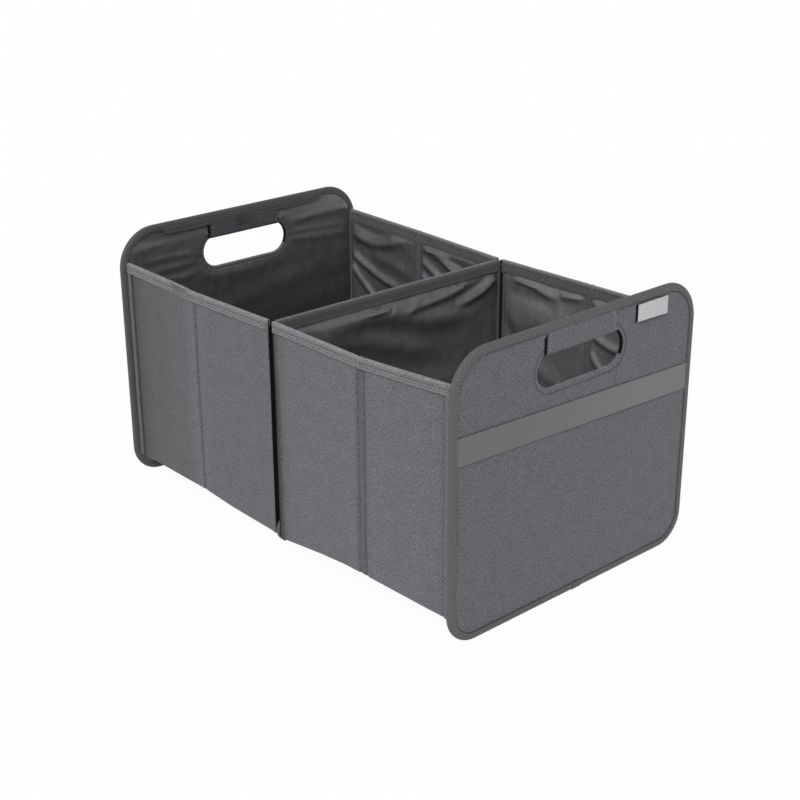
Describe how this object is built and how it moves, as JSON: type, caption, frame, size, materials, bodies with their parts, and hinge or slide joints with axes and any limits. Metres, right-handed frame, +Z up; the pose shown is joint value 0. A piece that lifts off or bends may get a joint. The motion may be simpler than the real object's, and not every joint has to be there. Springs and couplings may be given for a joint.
{
  "type": "folding storage box",
  "caption": "Open cloth-covered box with a divider, slotted end handles and creased side walls that fold flat towards the divider.",
  "frame": {"origin": "on the floor under the middle of the divider, at the bottom centre of the open box", "axes": "+X along the box to the end with the strap and the tab, -Y to the front wall, +Z up"},
  "size_m": [0.5, 0.32, 0.275],
  "materials": {
    "outer_cloth": "dark grey plain-woven polyester cloth",
    "binding_tape": "dark grey ribbed binding tape",
    "lining": "near-black coated nylon lining with a soft sheen",
    "board": "hidden compressed greyboard",
    "elastic_strap": "smooth grey elastic webbing",
    "label_tape": "blank light grey woven tab"
  },
  "bodies": {
    "divider": {"divider_board": "board", "divider_right_lining": "lining", "divider_left_lining": "lining", "divider_binding": "binding_tape", "right_floor_cloth": "outer_cloth", "left_floor_cloth": "outer_cloth"},
    "right_front_divider_half": {"right_front_divider_half_lining": "lining", "right_front_divider_half_board": "board", "right_front_divider_half_cloth": "outer_cloth", "right_front_divider_half_hem": "outer_cloth"},
    "right_front_end_half": {"right_front_end_half_lining": "lining", "right_front_end_half_board": "board", "right_front_end_half_cloth": "outer_cloth", "right_front_end_half_hem": "outer_cloth"},
    "right_rear_divider_half": {"right_rear_divider_half_lining": "lining", "right_rear_divider_half_board": "board", "right_rear_divider_half_cloth": "outer_cloth", "right_rear_divider_half_hem": "outer_cloth"},
    "right_rear_end_half": {"right_rear_end_half_lining": "lining", "right_rear_end_half_board": "board", "right_rear_end_half_cloth": "outer_cloth", "right_rear_end_half_hem": "outer_cloth"},
    "right_end": {"right_end_cloth": "outer_cloth", "right_end_board": "board", "right_end_lining": "lining", "right_end_binding": "binding_tape", "right_handle_wrap": "outer_cloth", "elastic_strap": "elastic_strap", "label_tab": "label_tape"},
    "right_floor": {"right_floor_mat": "lining"},
    "left_front_divider_half": {"left_front_divider_half_lining": "lining", "left_front_divider_half_board": "board", "left_front_divider_half_cloth": "outer_cloth", "left_front_divider_half_hem": "outer_cloth"},
    "left_front_end_half": {"left_front_end_half_lining": "lining", "left_front_end_half_board": "board", "left_front_end_half_cloth": "outer_cloth", "left_front_end_half_hem": "outer_cloth"},
    "left_rear_divider_half": {"left_rear_divider_half_lining": "lining", "left_rear_divider_half_board": "board", "left_rear_divider_half_cloth": "outer_cloth", "left_rear_divider_half_hem": "outer_cloth"},
    "left_rear_end_half": {"left_rear_end_half_lining": "lining", "left_rear_end_half_board": "board", "left_rear_end_half_cloth": "outer_cloth", "left_rear_end_half_hem": "outer_cloth"},
    "left_end": {"left_end_cloth": "outer_cloth", "left_end_board": "board", "left_end_lining": "lining", "left_end_binding": "binding_tape", "left_handle_wrap": "outer_cloth"},
    "left_floor": {"left_floor_mat": "lining"}
  },
  "joints": [
    {"name": "right_fold", "type": "hinge", "parent": "divider", "child": "right_front_divider_half", "pos_m": [0.0082, -0.1514, 0.12], "axis": [0, 0, 1], "range_deg": [0, 90], "deforming": ["right_floor_cloth"]},
    {"name": "right_front_crease", "type": "hinge", "parent": "right_front_divider_half", "child": "right_front_end_half", "pos_m": [0.1254, -0.1557, 0.12], "axis": [0, 0, 1], "range_deg": [-180, 0]},
    {"name": "right_end_hinge", "type": "hinge", "parent": "right_front_end_half", "child": "right_end", "pos_m": [0.2426, -0.1514, 0.12], "axis": [0, 0, 1], "range_deg": [0, 90]},
    {"name": "right_rear_hinge", "type": "hinge", "parent": "divider", "child": "right_rear_divider_half", "pos_m": [0.0082, 0.1514, 0.12], "axis": [0, 0, 1], "range_deg": [-90, 0]},
    {"name": "right_rear_crease", "type": "hinge", "parent": "right_rear_divider_half", "child": "right_rear_end_half", "pos_m": [0.1254, 0.1557, 0.12], "axis": [0, 0, 1], "range_deg": [0, 180]},
    {"name": "right_floor_lift", "type": "hinge", "parent": "divider", "child": "right_floor", "pos_m": [0.0034, 0, 0.0136], "axis": [0, -1, 0], "range_deg": [0, 90], "deforming": ["right_floor_mat"]},
    {"name": "left_fold", "type": "hinge", "parent": "divider", "child": "left_front_divider_half", "pos_m": [-0.0082, -0.1514, 0.12], "axis": [0, 0, -1], "range_deg": [0, 90], "deforming": ["left_floor_cloth"]},
    {"name": "left_front_crease", "type": "hinge", "parent": "left_front_divider_half", "child": "left_front_end_half", "pos_m": [-0.1254, -0.1557, 0.12], "axis": [0, 0, -1], "range_deg": [-180, 0]},
    {"name": "left_end_hinge", "type": "hinge", "parent": "left_front_end_half", "child": "left_end", "pos_m": [-0.2426, -0.1514, 0.12], "axis": [0, 0, -1], "range_deg": [0, 90]},
    {"name": "left_rear_hinge", "type": "hinge", "parent": "divider", "child": "left_rear_divider_half", "pos_m": [-0.0082, 0.1514, 0.12], "axis": [0, 0, -1], "range_deg": [-90, 0]},
    {"name": "left_rear_crease", "type": "hinge", "parent": "left_rear_divider_half", "child": "left_rear_end_half", "pos_m": [-0.1254, 0.1557, 0.12], "axis": [0, 0, -1], "range_deg": [0, 180]},
    {"name": "left_floor_lift", "type": "hinge", "parent": "divider", "child": "left_floor", "pos_m": [-0.0034, 0, 0.0136], "axis": [0, 1, 0], "range_deg": [0, 90], "deforming": ["left_floor_mat"]}
  ],
  "couplings": [
    {"joint": "right_front_crease", "follows": "right_fold", "ratio": -2},
    {"joint": "right_end_hinge", "follows": "right_fold", "ratio": 1},
    {"joint": "right_rear_hinge", "follows": "right_fold", "ratio": -1},
    {"joint": "right_rear_crease", "follows": "right_fold", "ratio": 2},
    {"joint": "right_floor_lift", "follows": "right_fold", "ratio": 1},
    {"joint": "left_front_crease", "follows": "left_fold", "ratio": -2},
    {"joint": "left_end_hinge", "follows": "left_fold", "ratio": 1},
    {"joint": "left_rear_hinge", "follows": "left_fold", "ratio": -1},
    {"joint": "left_rear_crease", "follows": "left_fold", "ratio": 2},
    {"joint": "left_floor_lift", "follows": "left_fold", "ratio": 1}
  ]
}
